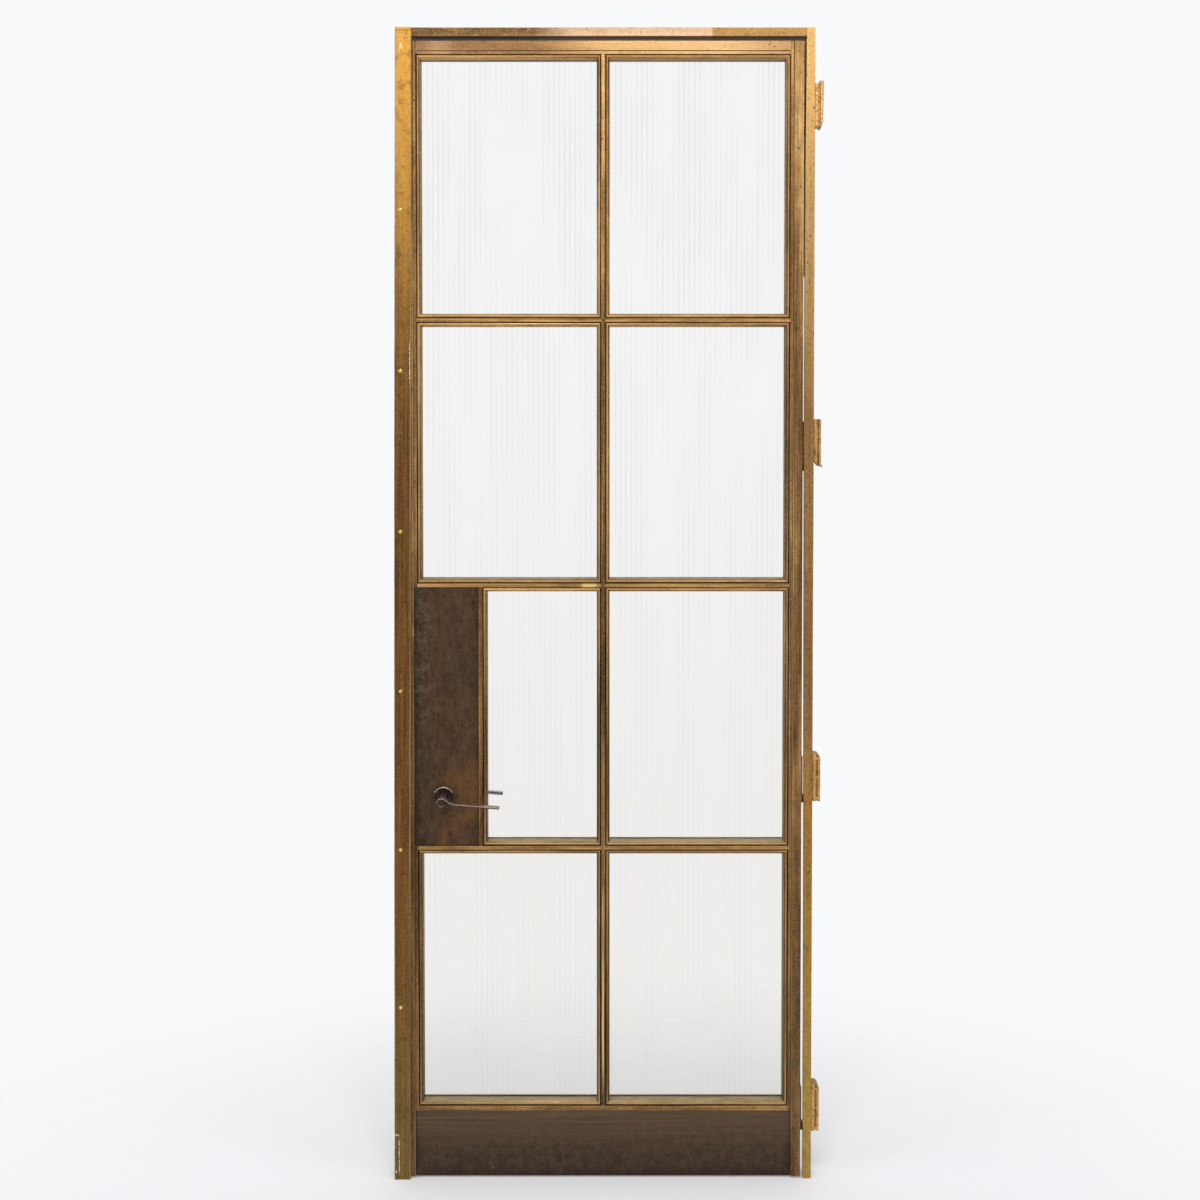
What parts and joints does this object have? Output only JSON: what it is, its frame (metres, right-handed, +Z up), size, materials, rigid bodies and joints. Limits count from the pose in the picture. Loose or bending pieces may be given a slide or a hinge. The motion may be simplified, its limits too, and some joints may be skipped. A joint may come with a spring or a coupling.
{
  "type": "glazed door in its frame",
  "caption": "Tall bronze-framed glazed door leaf in a slim frame, with reeded panes, a lock plate, lever handles, a kick plate and wall lugs.",
  "frame": {"origin": "on the latch jamb's outer flat face, at the frame's mid-height and mid-depth", "axes": "+X across the door towards the hinges, -Y out of the door's front face towards the viewer, +Z up"},
  "size_m": [1.036, 0.164, 2.782],
  "materials": {
    "patinated_bronze": "aged patina with brighter worn edges",
    "stop_strip_brass": "rubbed, golden",
    "dark_bronze_plate": "dark patina, scuffed",
    "dark_handle_bronze": "dark, rubbed on the edges",
    "rough_cast_brass": "rough cast",
    "worn_screw_brass": "worn bright",
    "reeded_glass": "clear with fine upright reeds"
  },
  "bodies": {
    "frame": {"latch_jamb": "patinated_bronze", "hinge_jamb": "patinated_bronze", "head": "patinated_bronze", "stop_strip": "stop_strip_brass", "stop_screw_1": "worn_screw_brass", "stop_screw_2": "worn_screw_brass", "stop_screw_3": "worn_screw_brass", "stop_screw_4": "worn_screw_brass", "stop_screw_5": "worn_screw_brass", "stop_screw_6": "worn_screw_brass", "wall_lug_1": "rough_cast_brass", "wall_lug_2": "rough_cast_brass", "wall_lug_3": "rough_cast_brass", "wall_lug_4": "rough_cast_brass", "hinge_jamb_half_1": "dark_bronze_plate", "hinge_jamb_half_2": "dark_bronze_plate", "hinge_jamb_half_3": "dark_bronze_plate", "hinge_jamb_half_4": "dark_bronze_plate"},
    "leaf": {"latch_stile": "patinated_bronze", "hinge_stile": "patinated_bronze", "top_rail": "patinated_bronze", "bottom_rail": "patinated_bronze", "mullion": "patinated_bronze", "transom_1_left": "patinated_bronze", "transom_1_right": "patinated_bronze", "transom_2_left": "patinated_bronze", "transom_2_right": "patinated_bronze", "transom_3_left": "patinated_bronze", "transom_3_right": "patinated_bronze", "lock_bar": "patinated_bronze", "bead_ring_top_left": "patinated_bronze", "bead_ring_top_right": "patinated_bronze", "bead_ring_upper_left": "patinated_bronze", "bead_ring_upper_right": "patinated_bronze", "bead_ring_lock_left": "patinated_bronze", "bead_ring_lock_right": "patinated_bronze", "bead_ring_bottom_left": "patinated_bronze", "bead_ring_bottom_right": "patinated_bronze", "glass_top_left": "reeded_glass", "glass_top_right": "reeded_glass", "glass_upper_left": "reeded_glass", "glass_upper_right": "reeded_glass", "glass_lock_left": "reeded_glass", "glass_lock_right": "reeded_glass", "glass_bottom_left": "reeded_glass", "glass_bottom_right": "reeded_glass", "lock_plate_front": "dark_bronze_plate", "lock_plate_rear": "dark_bronze_plate", "kick_plate_front": "dark_bronze_plate", "kick_plate_rear": "dark_bronze_plate", "rose_front": "dark_handle_bronze", "rose_rear": "dark_handle_bronze", "hinge_leaf_half_1": "dark_bronze_plate", "hinge_leaf_half_2": "dark_bronze_plate", "hinge_leaf_half_3": "dark_bronze_plate", "hinge_leaf_half_4": "dark_bronze_plate"},
    "lever": {"lever_front": "dark_handle_bronze", "lever_rear": "dark_handle_bronze", "spindle": "dark_handle_bronze"}
  },
  "joints": [
    {"name": "door_swing", "type": "hinge", "parent": "frame", "child": "leaf", "pos_m": [0.9828, 0.031, 0], "axis": [0, 0, -1], "range_deg": [0, 100]},
    {"name": "lever_turn", "type": "hinge", "parent": "leaf", "child": "lever", "pos_m": [0.1215, 0.0005, -0.457], "axis": [0, 1, 0], "range_deg": [0, 40], "stiffness_Nm_per_rad": 1.5, "springref_deg": -34.38}
  ]
}
